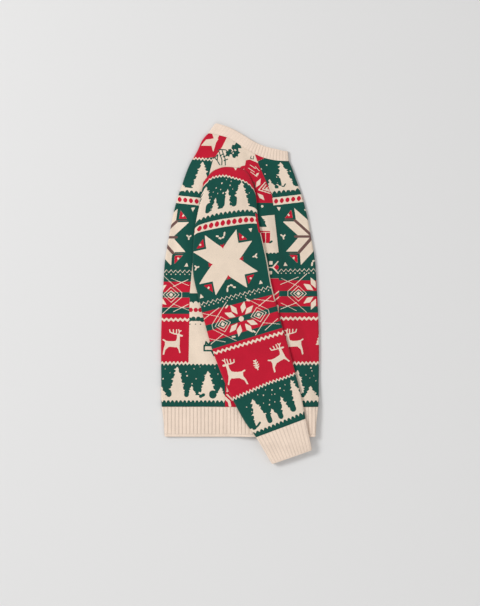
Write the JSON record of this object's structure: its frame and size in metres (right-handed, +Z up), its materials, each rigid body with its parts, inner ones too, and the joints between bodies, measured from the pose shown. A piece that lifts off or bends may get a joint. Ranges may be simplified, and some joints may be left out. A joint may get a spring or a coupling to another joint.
{
  "type": "christmas sweater laid flat on its side",
  "caption": "Knitted pullover with a festive patterned body, ribbed neck, cuffs and hem, folded down its centre front and back and lying flat, with one sleeve on top and one beneath",
  "frame": {"origin": "Centre of the laid garment's outline on the surface it lies on, at the bottom of its bounding box", "axes": "+Z up from the surface; +Y from the hem towards the neck; +X towards the garment's centre front, so -X is its centre back"},
  "size_m": [0.3476, 0.7504, 0.0246],
  "materials": {
    "patterned_knit": "matte jacquard knit in green, red and cream",
    "patterned_knit_sleeve": "matte jacquard knit in red, green and cream",
    "cream_rib": "matte ribbed knit, cream"
  },
  "bodies": {
    "root": {"front_panel": "patterned_knit", "back_panel": "patterned_knit", "hem_rib_front": "cream_rib", "hem_rib_back": "cream_rib", "neck_rib": "cream_rib", "sleeve_right": "patterned_knit_sleeve", "sleeve_left": "patterned_knit_sleeve", "cuff_right": "cream_rib", "cuff_left": "cream_rib"}
  },
  "joints": []
}
